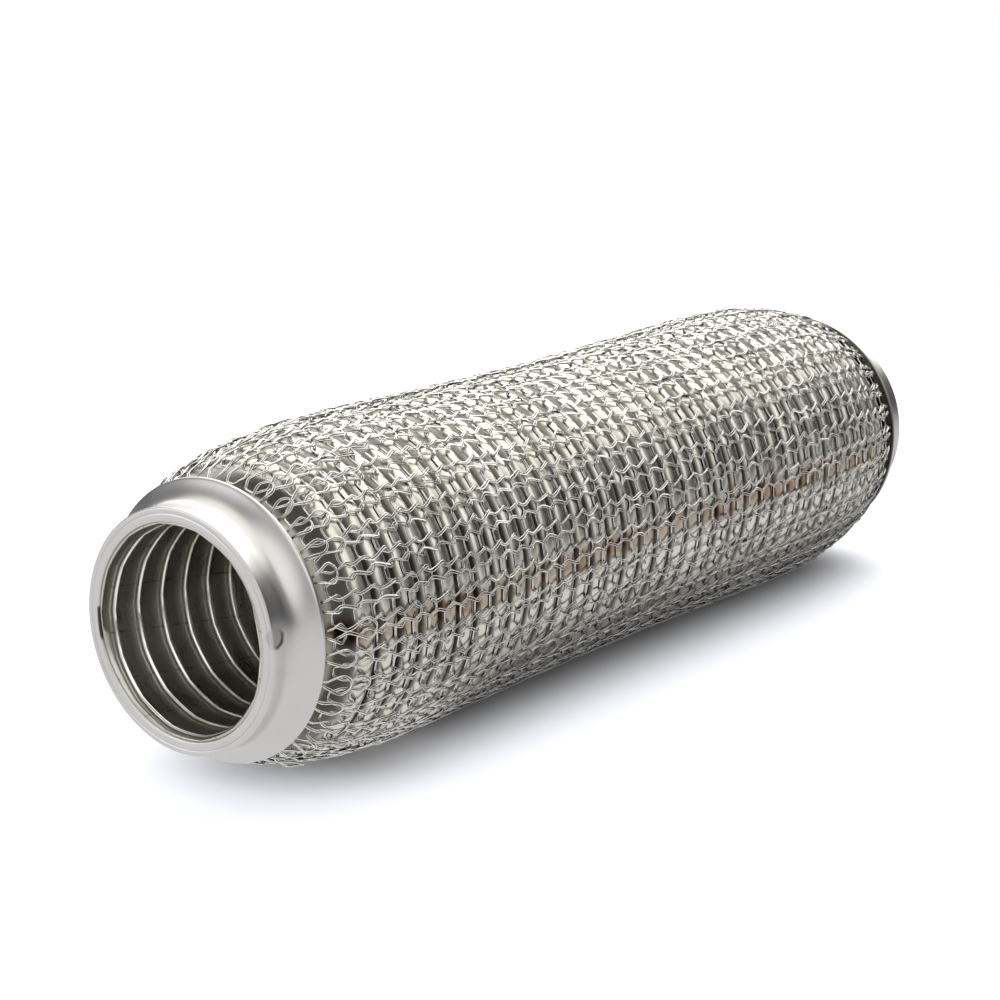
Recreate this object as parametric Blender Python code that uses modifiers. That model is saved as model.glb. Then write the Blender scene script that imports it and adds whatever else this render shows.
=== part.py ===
"""Exhaust flex pipe: a thin-walled bellows under a knitted wire sleeve, with a strip-wound liner inside
and a flared collar welded on at each end. It lies along X on the ground plane, its middle over the origin.

Every piece is modelled round its own Z axis. The empty pipe_axis then lays them all down along X,
which turns their +X side to the ground.
"""
import math

import bmesh
import bpy

# Overall sizes, in metres
LENGTH = 0.280                  # from lip to lip
CLEARANCE = 0.0003              # gap left between pieces that touch

# Liner: one steel strip wound into a helix, which leaves an edge standing into the bore at each turn
LINER_RADIUS = 0.0251           # to the corners of its outside
LINER_WALL = 0.0005
LINER_RIDGE = 0.0007            # height of the strip's standing edge
LINER_RIDGE_SLOPE = 0.0010      # length over which the standing edge falls back
LINER_TURNS = 36
LINER_SIDES = 14                # the strip is bent round in flats
LINER_SETBACK = 0.0005          # from the collar's lip face

# Collar: lip, short spigot and a flare over the end of the sleeve
COLLAR_WALL = 0.0013
COLLAR_SIDES = 24
SPIGOT_LENGTH = 0.0080          # from the lip face to the start of the flare
LIP_CHAMFER = 0.0004
FLARE_LENGTH = 0.0044
FLARE_HEIGHT = 0.0050
FLARE_STEPS = 3

# Bellows
BELLOWS_WALL = 0.00035
BELLOWS_SIDES = 12
CONVOLUTIONS = 35
ROOT_STEP = 0.0016              # from the plain end tube out to the roots of the convolutions
CREST_FLAT = 0.0032             # width of a convolution's outer flat
END_TUBE = 0.0210               # plain tube between the lip face and the first convolution
CLOSER_ENDS = 0.05              # how much closer the convolutions are at the ends than on average

# Knitted sleeve: the wales are bars along the pipe, and the rows of slots are the openings between them
SLEEVE_WALL = 0.0007
WALES = 34
SLOT_ROWS = 3
COURSE_BAND = 0.0060            # closed band between two rows of slots
SHOULDER_RADIUS = 0.0401        # outside of the sleeve where it is fullest
SHOULDER_FROM_LIP = 0.0460
WAIST_RADIUS = 0.0395           # outside of the sleeve at mid length
SLEEVE_BEND_RADIUS = 0.0366     # outside of the sleeve where it turns in to the collar
SLEEVE_BEND_FROM_LIP = 0.0205   # the outer rows of slots start here
REST_FLAT = 0.0005              # how far the pipe's weight presses the sleeve flat where it lies

# Colours of bare steel, as red, green, blue
COLLAR_COLOUR = (0.66, 0.65, 0.64)
BELLOWS_COLOUR = (0.56, 0.55, 0.52)
SLEEVE_COLOUR = (0.62, 0.61, 0.58)
LINER_COLOUR = (0.36, 0.35, 0.33)


def clear_of(radius, sides):
    """Corner radius of a ring with this many flats that stays clear of what turns inside it."""
    return (radius + CLEARANCE) / math.cos(math.pi / sides)


HALF_LENGTH = LENGTH / 2
NECK_RADIUS = clear_of(LINER_RADIUS, BELLOWS_SIDES) + BELLOWS_WALL
SPIGOT_RADIUS = clear_of(NECK_RADIUS, COLLAR_SIDES) + COLLAR_WALL
LIP_BORE_RADIUS = clear_of(LINER_RADIUS, COLLAR_SIDES)
RIM_HEIGHT = HALF_LENGTH - SPIGOT_LENGTH - FLARE_LENGTH
AXIS_HEIGHT = SHOULDER_RADIUS * math.cos(math.pi / (2 * WALES)) - REST_FLAT


def new_collection(name):
    collection = bpy.data.collections.new(name)
    bpy.context.scene.collection.children.link(collection)
    return collection


def steel(name, colour, roughness):
    """Bare steel with the given colour."""
    material = bpy.data.materials.new(name)
    material.use_nodes = True
    shader = material.node_tree.nodes["Principled BSDF"]
    shader.inputs["Base Color"].default_value = (*colour, 1.0)
    shader.inputs["Metallic"].default_value = 1.0
    shader.inputs["Roughness"].default_value = roughness
    return material


def add_part(name, mesh, material, axis, collection):
    """Puts a mesh in the pipe's collection, on the pipe's axis."""
    part = bpy.data.objects.new(name, mesh)
    part.data.materials.append(material)
    part.parent = axis
    collection.objects.link(part)
    return part


def profile_mesh(name, points):
    """A line of (radius, height) points in the XZ plane, ready to be turned about Z."""
    mesh = bpy.data.meshes.new(name)
    vertices = [(radius, 0.0, height) for radius, height in points]
    edges = [(index, index + 1) for index in range(len(points) - 1)]
    mesh.from_pydata(vertices, edges, [])
    return mesh


def turn(part, sides):
    """Turns the part's profile once round the axis."""
    screw = part.modifiers.new("turn", "SCREW")
    screw.steps = sides
    screw.render_steps = sides
    screw.use_merge_vertices = True
    screw.merge_threshold = 0.00001
    screw.use_smooth_shade = True


def thicken(part, wall):
    """Gives the part's sheet its wall, inwards from the modelled side."""
    solidify = part.modifiers.new("wall", "SOLIDIFY")
    solidify.thickness = wall
    solidify.offset = -1.0
    solidify.use_even_offset = True


def collar_profile():
    """Outer side of the collar from the rim to the lip, and the lip turned in to the liner."""
    points = []
    for step in range(FLARE_STEPS + 1):
        angle = math.radians(90) * (1 - step / FLARE_STEPS)
        radius = SPIGOT_RADIUS + FLARE_HEIGHT * (1 - math.cos(angle))
        height = RIM_HEIGHT + FLARE_LENGTH * (1 - math.sin(angle))
        points.append((radius, height))
    points.append((SPIGOT_RADIUS, HALF_LENGTH - LIP_CHAMFER))
    points.append((SPIGOT_RADIUS - LIP_CHAMFER, HALF_LENGTH))
    points.append((LIP_BORE_RADIUS, HALF_LENGTH))
    points.reverse()
    return points


def make_collar(name, end, material, axis, collection):
    """One collar; end is 1 for the +X end of the pipe and -1 for the other."""
    points = [(radius, end * height) for radius, height in collar_profile()]
    if end < 0:
        points.reverse()
    collar = add_part(name, profile_mesh(name, points), material, axis, collection)
    turn(collar, COLLAR_SIDES)
    thicken(collar, COLLAR_WALL)
    return collar


def sleeve_stations():
    """Outer radius of the sleeve at each station of one half, from mid length to behind the flare."""
    return [
        (WAIST_RADIUS, 0.0),
        (SHOULDER_RADIUS, HALF_LENGTH - SHOULDER_FROM_LIP),
        (SLEEVE_BEND_RADIUS, HALF_LENGTH - SLEEVE_BEND_FROM_LIP),
        (SPIGOT_RADIUS + FLARE_HEIGHT / 2, RIM_HEIGHT - COLLAR_WALL),
    ]


def sleeve_radius(height):
    """Outer radius of the sleeve at a height along the pipe, read along its stations."""
    stations = sleeve_stations()
    place = abs(height)
    for (low_radius, low), (high_radius, high) in zip(stations, stations[1:]):
        if place <= high:
            share = (place - low) / (high - low)
            return low_radius + share * (high_radius - low_radius)
    return stations[-1][0]


def sleeve_slope():
    """Wall measured along the radius, as a share of the wall itself, where the sleeve is steepest."""
    stations = sleeve_stations()
    steepest = 0.0
    for (low_radius, low), (high_radius, high) in zip(stations, stations[1:]):
        steepest = max(steepest, abs(high_radius - low_radius) / (high - low))
    return math.hypot(1.0, steepest)


def slot_rows():
    """Heights where each row of slots starts and ends."""
    reach = HALF_LENGTH - SLEEVE_BEND_FROM_LIP
    slot = (2 * reach - (SLOT_ROWS - 1) * COURSE_BAND) / SLOT_ROWS
    rows = []
    for row in range(SLOT_ROWS):
        start = -reach + row * (slot + COURSE_BAND)
        rows.append((start, start + slot))
    return rows


def make_sleeve(material, axis, collection):
    """The knitted sleeve as one slotted wall, pressed a little flat where it lies."""
    heights = set()
    for start, end in slot_rows():
        heights.update((round(start, 7), round(end, 7)))
    for _, height in sleeve_stations()[1:]:
        heights.update((round(height, 7), round(-height, 7)))
    points = [(sleeve_radius(height), height) for height in sorted(heights, reverse=True)]

    columns = 2 * WALES
    half_column = math.pi / columns
    sheet = bmesh.new()
    corners = []
    for radius, height in points:
        place = (radius * math.cos(half_column), -radius * math.sin(half_column), height)
        corners.append(sheet.verts.new(place))
    line = [sheet.edges.new(pair) for pair in zip(corners, corners[1:])]
    bmesh.ops.spin(sheet, geom=corners + line, cent=(0, 0, 0), axis=(0, 0, 1), angle=2 * math.pi,
                   steps=columns, use_merge=True)
    bmesh.ops.remove_doubles(sheet, verts=sheet.verts, dist=0.00001)

    open_faces = []
    for face in sheet.faces:
        centre = face.calc_center_median()
        column = round(math.atan2(centre.y, centre.x) / (2 * half_column)) % columns
        in_row = any(start < centre.z < end for start, end in slot_rows())
        if in_row and column % 2 == 1:
            open_faces.append(face)
    bmesh.ops.delete(sheet, geom=open_faces, context="FACES")
    for vertex in sheet.verts:
        vertex.co.x = min(vertex.co.x, AXIS_HEIGHT)
    bmesh.ops.recalc_face_normals(sheet, faces=sheet.faces)

    mesh = bpy.data.meshes.new("mesh_sleeve")
    sheet.to_mesh(mesh)
    sheet.free()
    sleeve = add_part("mesh_sleeve", mesh, material, axis, collection)
    thicken(sleeve, SLEEVE_WALL)
    return sleeve


def crest_radius(height):
    """Outer radius of a convolution whose crest has its middle here, clear of the sleeve's flats."""
    sleeve = min(sleeve_radius(height - CREST_FLAT / 2), sleeve_radius(height + CREST_FLAT / 2))
    room = sleeve * math.cos(math.pi / (2 * WALES)) - REST_FLAT
    return room - (SLEEVE_WALL + CLEARANCE) * sleeve_slope()


def bellows_place(count):
    """Height at which this many convolutions, counted from the upper end, have been passed."""
    share = count / CONVOLUTIONS
    share -= CLOSER_ENDS * math.sin(2 * math.pi * share) / (2 * math.pi)
    return (HALF_LENGTH - END_TUBE) * (1 - 2 * share)


def bellows_profile():
    """Outer side of the bellows from its upper end to its lower end."""
    top = HALF_LENGTH - COLLAR_WALL - CLEARANCE
    points = [(NECK_RADIUS, top), (NECK_RADIUS, HALF_LENGTH - END_TUBE)]
    for index in range(CONVOLUTIONS):
        middle = bellows_place(index + 0.5)
        crest = crest_radius(middle)
        points.append((crest, middle + CREST_FLAT / 2))
        points.append((crest, middle - CREST_FLAT / 2))
        if index < CONVOLUTIONS - 1:
            points.append((NECK_RADIUS + ROOT_STEP, bellows_place(index + 1)))
    points.append((NECK_RADIUS, -(HALF_LENGTH - END_TUBE)))
    points.append((NECK_RADIUS, -top))
    return points


def make_bellows(material, axis, collection):
    """The thin corrugated tube that seals the pipe."""
    mesh = profile_mesh("bellows", bellows_profile())
    bellows = add_part("bellows", mesh, material, axis, collection)
    turn(bellows, BELLOWS_SIDES)
    thicken(bellows, BELLOWS_WALL)
    return bellows


def liner_sheet(half, pitch):
    """Inner side of the liner: a saw-toothed line turned once with one pitch of rise, then cut square."""
    band = LINER_RADIUS - LINER_WALL
    sheet = bmesh.new()
    corners = []
    for turn_number in range(LINER_TURNS + 3):
        start = -half + (turn_number - 1.6) * pitch
        corners.append(sheet.verts.new((band, 0.0, start)))
        ridge_height = start + pitch - LINER_RIDGE_SLOPE
        corners.append(sheet.verts.new((band - LINER_RIDGE, 0.0, ridge_height)))
    line = [sheet.edges.new(pair) for pair in zip(corners, corners[1:])]
    bmesh.ops.spin(sheet, geom=corners + line, cent=(0, 0, 0), axis=(0, 0, 1), angle=2 * math.pi,
                   dvec=(0, 0, pitch / LINER_SIDES), steps=LINER_SIDES, use_merge=False)
    bmesh.ops.remove_doubles(sheet, verts=sheet.verts, dist=0.00001)
    for end in (1, -1):
        geometry = sheet.verts[:] + sheet.edges[:] + sheet.faces[:]
        bmesh.ops.bisect_plane(sheet, geom=geometry, dist=0.000001, plane_co=(0, 0, end * half),
                               plane_no=(0, 0, end), clear_outer=True)
    return sheet


def flat_sided_radius(angle):
    """Distance from the axis to the liner's flat outside in this direction."""
    half_side = math.pi / LINER_SIDES
    from_middle = angle % (2 * half_side) - half_side
    return LINER_RADIUS * math.cos(half_side) / math.cos(from_middle)


def make_liner(material, axis, collection):
    """The strip-wound liner, with its ridge running round the bore."""
    half = HALF_LENGTH - LINER_SETBACK
    pitch = 2 * half / LINER_TURNS
    sheet = liner_sheet(half, pitch)
    ends = [edge for edge in sheet.edges if edge.is_boundary]
    grown = bmesh.ops.extrude_edge_only(sheet, edges=ends)["geom"]
    for vertex in grown:
        if isinstance(vertex, bmesh.types.BMVert):
            angle = math.atan2(vertex.co.y, vertex.co.x)
            radius = flat_sided_radius(angle)
            vertex.co.x = radius * math.cos(angle)
            vertex.co.y = radius * math.sin(angle)
    outer = [edge for edge in grown if isinstance(edge, bmesh.types.BMEdge) and edge.is_boundary]
    bmesh.ops.bridge_loops(sheet, edges=outer)
    bmesh.ops.recalc_face_normals(sheet, faces=sheet.faces)
    mesh = bpy.data.meshes.new("interlock_liner")
    sheet.to_mesh(mesh)
    sheet.free()
    return add_part("interlock_liner", mesh, material, axis, collection)


def main():
    for thing in list(bpy.data.objects):
        bpy.data.objects.remove(thing, do_unlink=True)
    pipe = new_collection("exhaust_flex_pipe")
    axis = bpy.data.objects.new("pipe_axis", None)
    axis.location = (0.0, 0.0, AXIS_HEIGHT)
    axis.rotation_euler = (0.0, math.radians(90), 0.0)
    pipe.objects.link(axis)

    collar_steel = steel("collar_steel", COLLAR_COLOUR, 0.32)
    make_collar("front_collar", -1, collar_steel, axis, pipe)
    make_collar("rear_collar", 1, collar_steel, axis, pipe)
    make_sleeve(steel("sleeve_wire", SLEEVE_COLOUR, 0.30), axis, pipe)
    make_bellows(steel("bellows_steel", BELLOWS_COLOUR, 0.26), axis, pipe)
    make_liner(steel("liner_steel", LINER_COLOUR, 0.34), axis, pipe)


main()
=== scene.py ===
"""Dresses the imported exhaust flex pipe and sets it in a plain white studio.

The pipe lies along X, its axis above the middle of the ground plane. Sizes are in metres. A distance "from
the lip" is measured from either end of the pipe towards its middle.
"""
import math
import random

import bmesh
import bpy
from mathutils import Matrix, Vector


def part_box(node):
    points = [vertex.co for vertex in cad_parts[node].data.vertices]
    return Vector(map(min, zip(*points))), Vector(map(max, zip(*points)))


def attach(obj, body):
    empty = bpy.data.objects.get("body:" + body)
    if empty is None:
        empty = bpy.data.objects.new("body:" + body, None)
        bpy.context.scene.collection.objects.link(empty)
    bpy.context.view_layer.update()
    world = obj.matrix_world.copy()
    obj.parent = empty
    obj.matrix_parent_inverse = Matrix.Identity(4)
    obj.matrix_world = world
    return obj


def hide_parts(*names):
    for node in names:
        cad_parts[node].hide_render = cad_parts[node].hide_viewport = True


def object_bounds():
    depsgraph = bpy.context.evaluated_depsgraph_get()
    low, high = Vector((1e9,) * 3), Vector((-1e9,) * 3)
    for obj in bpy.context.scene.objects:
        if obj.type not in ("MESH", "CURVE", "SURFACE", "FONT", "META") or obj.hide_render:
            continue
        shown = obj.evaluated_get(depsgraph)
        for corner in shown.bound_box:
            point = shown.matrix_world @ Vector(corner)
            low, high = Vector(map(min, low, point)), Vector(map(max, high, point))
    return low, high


bl_info = {
    "name": "Exhaust flex pipe",
    "version": (1, 0, 0),
    "blender": (4, 5, 0),
    "location": "3D View > Sidebar > Flex pipe",
    "description": "Dresses an exhaust flex pipe: knitted wire sleeve, bellows, wound liner and collars",
    "category": "Object",
}

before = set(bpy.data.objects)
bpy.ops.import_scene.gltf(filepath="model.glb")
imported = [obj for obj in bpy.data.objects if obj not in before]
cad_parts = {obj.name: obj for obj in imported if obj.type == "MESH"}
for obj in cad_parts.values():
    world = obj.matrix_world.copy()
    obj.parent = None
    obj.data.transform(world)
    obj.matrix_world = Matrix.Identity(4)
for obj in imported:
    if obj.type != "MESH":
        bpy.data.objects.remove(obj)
CAD_BOX = [list(corner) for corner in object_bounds()]
COLLAR_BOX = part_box("front_collar")
LINER_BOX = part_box("interlock_liner")
BODY = "root"

HALF_LENGTH = CAD_BOX[1][0]
AXIS_HEIGHT = (COLLAR_BOX[0][2] + COLLAR_BOX[1][2]) / 2
RIM_RADIUS = (COLLAR_BOX[1][2] - COLLAR_BOX[0][2]) / 2
LINER_HALF_LENGTH = LINER_BOX[1][0]


# Sizes and colours

class FlexPipeSettings(bpy.types.PropertyGroup):
    """Sizes and colours of the dressed pipe."""

    waist_radius: bpy.props.FloatProperty(
        name="Waist radius", description="Outside of the sleeve at mid length",
        default=0.03934, unit="LENGTH", precision=5)
    swell: bpy.props.FloatProperty(
        name="Swell", description="How much the sleeve would grow from its waist to the collar",
        default=0.0037, unit="LENGTH", precision=5)
    end_drop: bpy.props.FloatProperty(
        name="End drop", description="How far the sleeve turns in at the collar",
        default=0.0101, unit="LENGTH", precision=5)
    sleeve_end: bpy.props.FloatProperty(
        name="Sleeve end", description="Distance from the lip at which the sleeve passes behind the flare",
        default=0.01315, unit="LENGTH", precision=5)
    wales: bpy.props.IntProperty(
        name="Wales", description="Columns of stitches round the sleeve", default=34, min=3)
    courses: bpy.props.IntProperty(
        name="Courses", description="Rows of stitches along the sleeve", default=44, min=2)
    spare_stitches: bpy.props.IntProperty(
        name="Spare stitches", description="Stitches tucked behind each flare", default=24, min=0)
    wire_radius: bpy.props.FloatProperty(
        name="Wire radius", description="Radius of one strand of the knit",
        default=0.000188, unit="LENGTH", precision=6)
    strand_gap: bpy.props.FloatProperty(
        name="Strand spacing", description="Between the middles of the two strands knitted together",
        default=0.00045, unit="LENGTH", precision=6)
    convolutions: bpy.props.IntProperty(
        name="Convolutions", description="Folds of the bellows", default=35, min=2)
    bellows_start: bpy.props.FloatProperty(
        name="Bellows start", description="Distance from the lip to the first convolution",
        default=0.0210, unit="LENGTH", precision=5)
    closer_ends: bpy.props.FloatProperty(
        name="Closer ends", description="How much closer the convolutions are at the ends than on average",
        default=0.05, subtype="FACTOR", min=0.0, max=0.5)
    root_radius: bpy.props.FloatProperty(
        name="Root radius", description="Outside of the bellows between two convolutions",
        default=0.0283, unit="LENGTH", precision=5)
    neck_radius: bpy.props.FloatProperty(
        name="Neck radius", description="Outside of the bellows' plain ends",
        default=0.02665, unit="LENGTH", precision=5)
    liner_turns: bpy.props.IntProperty(
        name="Liner turns", description="Turns of the liner's strip", default=36, min=2)
    liner_sides: bpy.props.IntProperty(
        name="Liner flats", description="Flats in each turn of the strip", default=14, min=3)
    liner_radius: bpy.props.FloatProperty(
        name="Liner radius", description="Inside of the strip, to the corners of its flats",
        default=0.0251, unit="LENGTH", precision=5)
    ridge_height: bpy.props.FloatProperty(
        name="Ridge height", description="How far the strip's edge stands into the bore",
        default=0.0008, unit="LENGTH", precision=5)
    wire_colour: bpy.props.FloatVectorProperty(
        name="Wire", description="Colour of the drawn wire", subtype="COLOR", default=(0.92, 0.91, 0.885))
    bellows_colour: bpy.props.FloatVectorProperty(
        name="Bellows", description="Colour of the rolled foil", subtype="COLOR", default=(0.79, 0.76, 0.685))
    collar_colour: bpy.props.FloatVectorProperty(
        name="Collars", description="Colour of the pressed sheet", subtype="COLOR", default=(0.69, 0.68, 0.67))
    liner_colour: bpy.props.FloatVectorProperty(
        name="Liner", description="Colour of the wound strip", subtype="COLOR", default=(0.60, 0.59, 0.54))
    tint_colour: bpy.props.FloatVectorProperty(
        name="Heat tint", description="Colour of the heat tint along the bellows' weld",
        subtype="COLOR", default=(0.17, 0.065, 0.022))


def settings():
    return bpy.context.scene.flex_pipe


def sleeve_radius(along):
    """Outside of the sleeve at a place along the pipe."""
    size = settings()
    share = abs(along) / (HALF_LENGTH - size.sleeve_end)
    return size.waist_radius + size.swell * share ** 2 - size.end_drop * share ** 7


CREST_UNDER_SLEEVE = 0.00115        # crests of the bellows under the outside of the sleeve


# Small builders for node trees

def add_node(tree, kind, **values):
    """A new node; values are its own settings."""
    made = tree.nodes.new(kind)
    for name, value in values.items():
        setattr(made, name, value)
    return made


def feed(tree, socket, value):
    """Links or sets an input, whichever the value is for."""
    if isinstance(value, bpy.types.NodeSocket):
        tree.links.new(value, socket)
    else:
        socket.default_value = value


def calc(tree, operation, first, second=None, third=None):
    """One Math node."""
    made = add_node(tree, "ShaderNodeMath", operation=operation)
    for socket, value in zip(made.inputs, (first, second, third)):
        if value is not None:
            feed(tree, socket, value)
    return made.outputs[0]


def vector_calc(tree, operation, first, second=None, scale=None):
    """One Vector Math node."""
    made = add_node(tree, "ShaderNodeVectorMath", operation=operation)
    feed(tree, made.inputs[0], first)
    if second is not None:
        feed(tree, made.inputs[1], second)
    if scale is not None:
        feed(tree, made.inputs["Scale"], scale)
    return made.outputs["Value"] if operation == "LENGTH" else made.outputs["Vector"]


def combine(tree, x, y, z):
    made = add_node(tree, "ShaderNodeCombineXYZ")
    for socket, value in zip(made.inputs, (x, y, z)):
        feed(tree, socket, value)
    return made.outputs[0]


def ramp_between(tree, value, low, high):
    """0 at low, 1 at high and smooth between."""
    made = add_node(tree, "ShaderNodeMapRange", interpolation_type="SMOOTHSTEP")
    feed(tree, made.inputs["Value"], value)
    feed(tree, made.inputs["From Min"], low)
    feed(tree, made.inputs["From Max"], high)
    return made.outputs["Result"]


def noise(tree, vector, scale, detail=2.0):
    made = add_node(tree, "ShaderNodeTexNoise")
    feed(tree, made.inputs["Vector"], vector)
    feed(tree, made.inputs["Scale"], scale)
    feed(tree, made.inputs["Detail"], detail)
    return made.outputs[0]


def mix_colour(tree, share, first, second):
    made = add_node(tree, "ShaderNodeMix", data_type="RGBA")
    feed(tree, made.inputs[0], share)
    for socket, value in ((made.inputs[6], first), (made.inputs[7], second)):
        if not isinstance(value, bpy.types.NodeSocket):
            value = (*value, 1.0)
        feed(tree, socket, value)
    return made.outputs[2]


# Materials

def pipe_places():
    """Shader group: the angle round the pipe, the place along it and the distance from its axis."""
    name = "pipe places"
    if name in bpy.data.node_groups:
        return bpy.data.node_groups[name]
    group = bpy.data.node_groups.new(name, "ShaderNodeTree")
    for title in ("Angle", "Along", "Radius"):
        group.interface.new_socket(title, in_out="OUTPUT", socket_type="NodeSocketFloat")
    for title in ("Ring", "Outward"):
        group.interface.new_socket(title, in_out="OUTPUT", socket_type="NodeSocketVector")
    place = add_node(group, "ShaderNodeTexCoord").outputs["Object"]
    apart = add_node(group, "ShaderNodeSeparateXYZ")
    group.links.new(place, apart.inputs[0])
    along, across, up = apart.outputs
    height = calc(group, "SUBTRACT", up, AXIS_HEIGHT)
    angle = calc(group, "ARCTAN2", height, across)
    radius = calc(group, "SQRT", calc(group, "ADD", calc(group, "MULTIPLY", height, height),
                                      calc(group, "MULTIPLY", across, across)))
    ends = add_node(group, "NodeGroupOutput")
    group.links.new(angle, ends.inputs["Angle"])
    group.links.new(along, ends.inputs["Along"])
    group.links.new(radius, ends.inputs["Radius"])
    ring = combine(group, along, calc(group, "MULTIPLY", across, 0.06), calc(group, "MULTIPLY", height, 0.06))
    group.links.new(ring, ends.inputs["Ring"])
    group.links.new(vector_calc(group, "NORMALIZE", combine(group, 0.0, across, height)), ends.inputs["Outward"])
    return group


def steel_finish():
    """Shader group: fine grain that runs round the pipe, and soft blotches, as a roughness and a height."""
    name = "steel finish"
    if name in bpy.data.node_groups:
        return bpy.data.node_groups[name]
    group = bpy.data.node_groups.new(name, "ShaderNodeTree")
    for title, value in (("Roughness", 0.25), ("Blotches", 0.1), ("Grain", 0.1), ("Grain Scale", 6000.0)):
        socket = group.interface.new_socket(title, in_out="INPUT", socket_type="NodeSocketFloat")
        socket.default_value = value
    for title in ("Roughness", "Height", "Shade"):
        group.interface.new_socket(title, in_out="OUTPUT", socket_type="NodeSocketFloat")
    given = add_node(group, "NodeGroupInput")
    places = add_node(group, "ShaderNodeGroup", node_tree=pipe_places())
    body = add_node(group, "ShaderNodeTexCoord").outputs["Object"]
    grain = calc(group, "SUBTRACT", noise(group, places.outputs["Ring"], given.outputs["Grain Scale"], 3.0), 0.5)
    blotch = calc(group, "SUBTRACT", noise(group, body, 120.0, 3.0), 0.5)
    rough = calc(group, "ADD", given.outputs["Roughness"],
                 calc(group, "MULTIPLY", blotch, given.outputs["Blotches"]))
    rough = calc(group, "ADD", rough, calc(group, "MULTIPLY", grain, given.outputs["Grain"]))
    shade = calc(group, "ADD", 1.0, calc(group, "MULTIPLY", blotch, given.outputs["Blotches"]))
    ends = add_node(group, "NodeGroupOutput")
    group.links.new(rough, ends.inputs["Roughness"])
    group.links.new(grain, ends.inputs["Height"])
    group.links.new(shade, ends.inputs["Shade"])
    return group


def steel(name, roughness, blotches, grain, grain_scale, bump=0.0):
    """A bare steel material; returns it with the nodes that the colour is made from."""
    material = bpy.data.materials.new(name)
    material.use_nodes = True
    tree = material.node_tree
    shader = tree.nodes["Principled BSDF"]
    shader.inputs["Metallic"].default_value = 1.0
    finish = add_node(tree, "ShaderNodeGroup", node_tree=steel_finish())
    finish.inputs["Roughness"].default_value = roughness
    finish.inputs["Blotches"].default_value = blotches
    finish.inputs["Grain"].default_value = grain
    finish.inputs["Grain Scale"].default_value = grain_scale
    tree.links.new(finish.outputs["Roughness"], shader.inputs["Roughness"])
    places = add_node(tree, "ShaderNodeGroup", node_tree=pipe_places())
    lift = add_node(tree, "ShaderNodeBump")
    lift.inputs["Strength"].default_value = bump
    lift.inputs["Distance"].default_value = 0.0001
    tree.links.new(finish.outputs["Height"], lift.inputs["Height"])
    tree.links.new(lift.outputs["Normal"], shader.inputs["Normal"])
    return material, tree, shader, finish, places, lift


def shaded_colour(tree, finish, colour):
    """The colour, darkened and lightened by the finish's blotches."""
    base = add_node(tree, "ShaderNodeMix", data_type="RGBA", blend_type="MULTIPLY")
    base.inputs[0].default_value = 1.0
    if isinstance(colour, bpy.types.NodeSocket):
        tree.links.new(colour, base.inputs[6])
    else:
        base.inputs[6].default_value = (*colour, 1.0)
    tree.links.new(finish.outputs["Shade"], base.inputs[7])
    return base.outputs[2]


def wire_steel():
    """Drawn wire in its own colour on the outside of the sleeve, with painted shade on the sides that face the bellows.
    """
    material, tree, shader, finish, places, _ = steel("drawn wire", 0.17, 0.14, 0.05, 3000.0)
    facing = add_node(tree, "ShaderNodeVectorMath", operation="DOT_PRODUCT")
    tree.links.new(add_node(tree, "ShaderNodeTexCoord").outputs["Normal"], facing.inputs[0])
    tree.links.new(places.outputs["Outward"], facing.inputs[1])
    # Painted shade: the wire's colour turns near black on the sides that face the bellows
    free_of_painted_shade = ramp_between(tree, facing.outputs["Value"], -0.30, 0.45)
    bright = shaded_colour(tree, finish, settings().wire_colour)
    tree.links.new(mix_colour(tree, free_of_painted_shade, (0.05, 0.045, 0.04), bright), shader.inputs["Base Color"])
    return material


def angle_from(tree, places, degrees):
    """Absolute angle from a line along the pipe, in radians, from 0 to pi."""
    turned = calc(tree, "SUBTRACT", places.outputs["Angle"], math.radians(degrees))
    return calc(tree, "ABSOLUTE", calc(tree, "WRAP", turned, math.pi, -math.pi))


def crest_height(tree, places):
    """Distance from the axis to the crests of the bellows at a place along the pipe."""
    size = settings()
    share = calc(tree, "DIVIDE", calc(tree, "ABSOLUTE", places.outputs["Along"]), HALF_LENGTH - size.sleeve_end)
    grown_by = calc(tree, "MULTIPLY", calc(tree, "POWER", share, 2.0), size.swell)
    shrunk_by = calc(tree, "MULTIPLY", calc(tree, "POWER", share, 7.0), size.end_drop)
    return calc(tree, "ADD", size.waist_radius - CREST_UNDER_SLEEVE, calc(tree, "SUBTRACT", grown_by, shrunk_by))


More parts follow.
